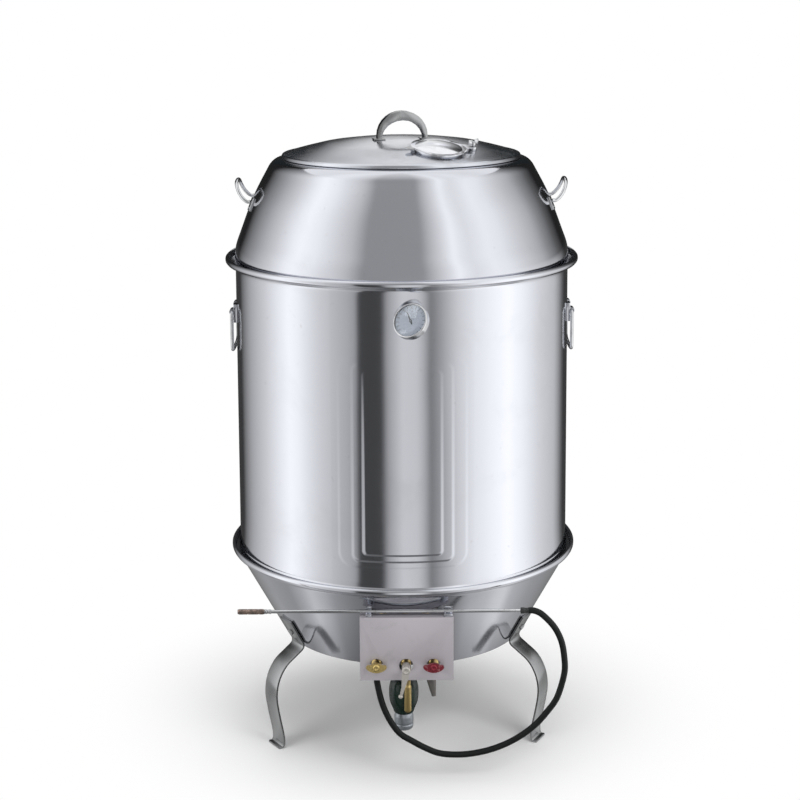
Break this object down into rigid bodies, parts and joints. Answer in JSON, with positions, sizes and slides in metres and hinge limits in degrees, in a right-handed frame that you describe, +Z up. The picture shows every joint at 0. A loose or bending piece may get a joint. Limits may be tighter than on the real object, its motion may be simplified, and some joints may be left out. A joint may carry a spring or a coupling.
{
  "type": "gas duck roasting oven",
  "caption": "Free-standing gas duck roasting oven: steel drum on a tapered base with curved legs, cone hood, vented lid, lift-out rack, gas cocks and lighting wand.",
  "frame": {"origin": "on the floor at the oven's vertical axis", "axes": "+Z up, -Y toward the control panel at the front, +X to the right seen from the front"},
  "size_m": [0.8132, 0.8535, 1.463],
  "materials": {
    "polished_steel": "polished stainless sheet with a light vertical grain",
    "dull_steel": "plain mill steel",
    "cast_iron": "rough black casting",
    "green_paint": "glossy dark green enamel on a casting",
    "grey_casting": "grey painted casting",
    "brass": "turned brass, a little tarnished",
    "gold_paint": "gold painted",
    "red_paint": "red painted",
    "copper": "heat-browned copper",
    "hose_rubber": "smooth black rubber",
    "panel_sheet": "satin pale grey plate",
    "dial_white": "white dial",
    "black": "black enamel",
    "glass": "clear flat glass"
  },
  "bodies": {
    "base": {"base_cone": "polished_steel", "base_floor": "dull_steel", "leg_left": "polished_steel", "leg_right": "polished_steel", "leg_rear": "polished_steel", "leg_bolt_left": "dull_steel", "leg_bolt_right": "dull_steel", "leg_bolt_rear": "dull_steel", "control_panel": "panel_sheet", "panel_bracket_left": "dull_steel", "panel_bracket_right": "dull_steel", "wand_clip_left": "polished_steel", "wand_clip_right": "polished_steel", "gas_manifold": "dull_steel", "cock_left_body": "brass", "cock_centre_body": "brass", "cock_right_body": "brass", "jet_holder": "brass", "hose_barb": "brass", "pilot_spout": "grey_casting", "mixing_tube": "green_paint", "inlet_union": "grey_casting", "burner_ring": "cast_iron", "tray_hoop": "dull_steel", "wand_hose": "hose_rubber"},
    "left_cock_handle": {"cock_left_handle": "gold_paint"},
    "centre_lever": {"cock_centre_lever": "grey_casting"},
    "right_cock_handle": {"cock_right_handle": "red_paint"},
    "wand": {"wand_tube": "polished_steel", "wand_collar": "polished_steel", "wand_tip": "copper", "wand_ferrule": "black"},
    "tray": {"drip_tray": "dull_steel"},
    "deflector": {"fat_deflector": "dull_steel"},
    "drum": {"drum_shell": "polished_steel", "drum_liner": "dull_steel", "rack_bracket_1": "dull_steel", "rack_bracket_2": "dull_steel", "rack_bracket_3": "dull_steel", "thermometer_stem": "dull_steel", "thermometer_case": "polished_steel", "thermometer_dial": "dial_white", "thermometer_glass": "glass", "bail_lug_right_front": "polished_steel", "bail_lug_right_rear": "polished_steel", "bail_lug_left_front": "polished_steel", "bail_lug_left_rear": "polished_steel"},
    "pointer": {"thermometer_pointer": "black"},
    "right_bail": {"bail_right": "polished_steel"},
    "left_bail": {"bail_left": "polished_steel"},
    "rack": {"duck_rack": "dull_steel"},
    "hood": {"hood_shell": "polished_steel", "hood_handle_left": "polished_steel", "hood_handle_right": "polished_steel"},
    "lid": {"lid_dome": "polished_steel", "lid_handle": "polished_steel", "vent_collar": "polished_steel", "vent_pivot_stud": "polished_steel"},
    "damper": {"vent_damper": "polished_steel"},
    "wing_nut": {"vent_wing_nut": "polished_steel"}
  },
  "joints": [
    {"name": "drum_lift", "type": "slide", "parent": "base", "child": "drum", "axis": [0, 0, 1], "range_m": [0, 0.25]},
    {"name": "hood_lift", "type": "slide", "parent": "drum", "child": "hood", "axis": [0, 0, 1], "range_m": [0, 0.25]},
    {"name": "lid_lift", "type": "slide", "parent": "hood", "child": "lid", "axis": [0, 0, 1], "range_m": [0, 0.2]},
    {"name": "rack_lift", "type": "slide", "parent": "drum", "child": "rack", "axis": [0, 0, 1], "range_m": [0, 0.08]},
    {"name": "tray_lift", "type": "slide", "parent": "base", "child": "tray", "axis": [0, 0, 1], "range_m": [0, 0.15]},
    {"name": "deflector_lift", "type": "slide", "parent": "tray", "child": "deflector", "axis": [0, 0, 1], "range_m": [0, 0.1]},
    {"name": "wand_lift", "type": "slide", "parent": "base", "child": "wand", "axis": [0, -0.5736, 0.8192], "range_m": [0, 0.05]},
    {"name": "left_cock_turn", "type": "hinge", "parent": "base", "child": "left_cock_handle", "pos_m": [-0.06, -0.4, 0.28], "axis": [0, -1, 0], "range_deg": [0, 90]},
    {"name": "centre_lever_turn", "type": "hinge", "parent": "base", "child": "centre_lever", "pos_m": [0.0055, -0.41, 0.28], "axis": [0, -1, 0], "range_deg": [0, 90]},
    {"name": "right_cock_turn", "type": "hinge", "parent": "base", "child": "right_cock_handle", "pos_m": [0.066, -0.4, 0.28], "axis": [0, -1, 0], "range_deg": [0, 90]},
    {"name": "pointer_turn", "type": "hinge", "parent": "drum", "child": "pointer", "pos_m": [0.016, -0.4228, 1.059], "axis": [0.4066, 0.7647, -0.5], "range_deg": [0, 270]},
    {"name": "right_bail_swing", "type": "hinge", "parent": "drum", "child": "right_bail", "pos_m": [0.389, 0, 1.01], "axis": [0, -1, 0], "range_deg": [0, 110]},
    {"name": "left_bail_swing", "type": "hinge", "parent": "drum", "child": "left_bail", "pos_m": [-0.389, 0, 1.01], "axis": [0, 1, 0], "range_deg": [0, 110]},
    {"name": "damper_turn", "type": "hinge", "parent": "lid", "child": "damper", "pos_m": [0.15791, -0.12773, 1.3867], "axis": [0.0986, -0.1927, 0.9763], "range_deg": [0, 100]},
    {"name": "wing_nut_turn", "type": "hinge", "parent": "lid", "child": "wing_nut", "pos_m": [0.15791, -0.12773, 1.3867], "axis": [0.0986, -0.1927, 0.9763], "continuous": true}
  ]
}
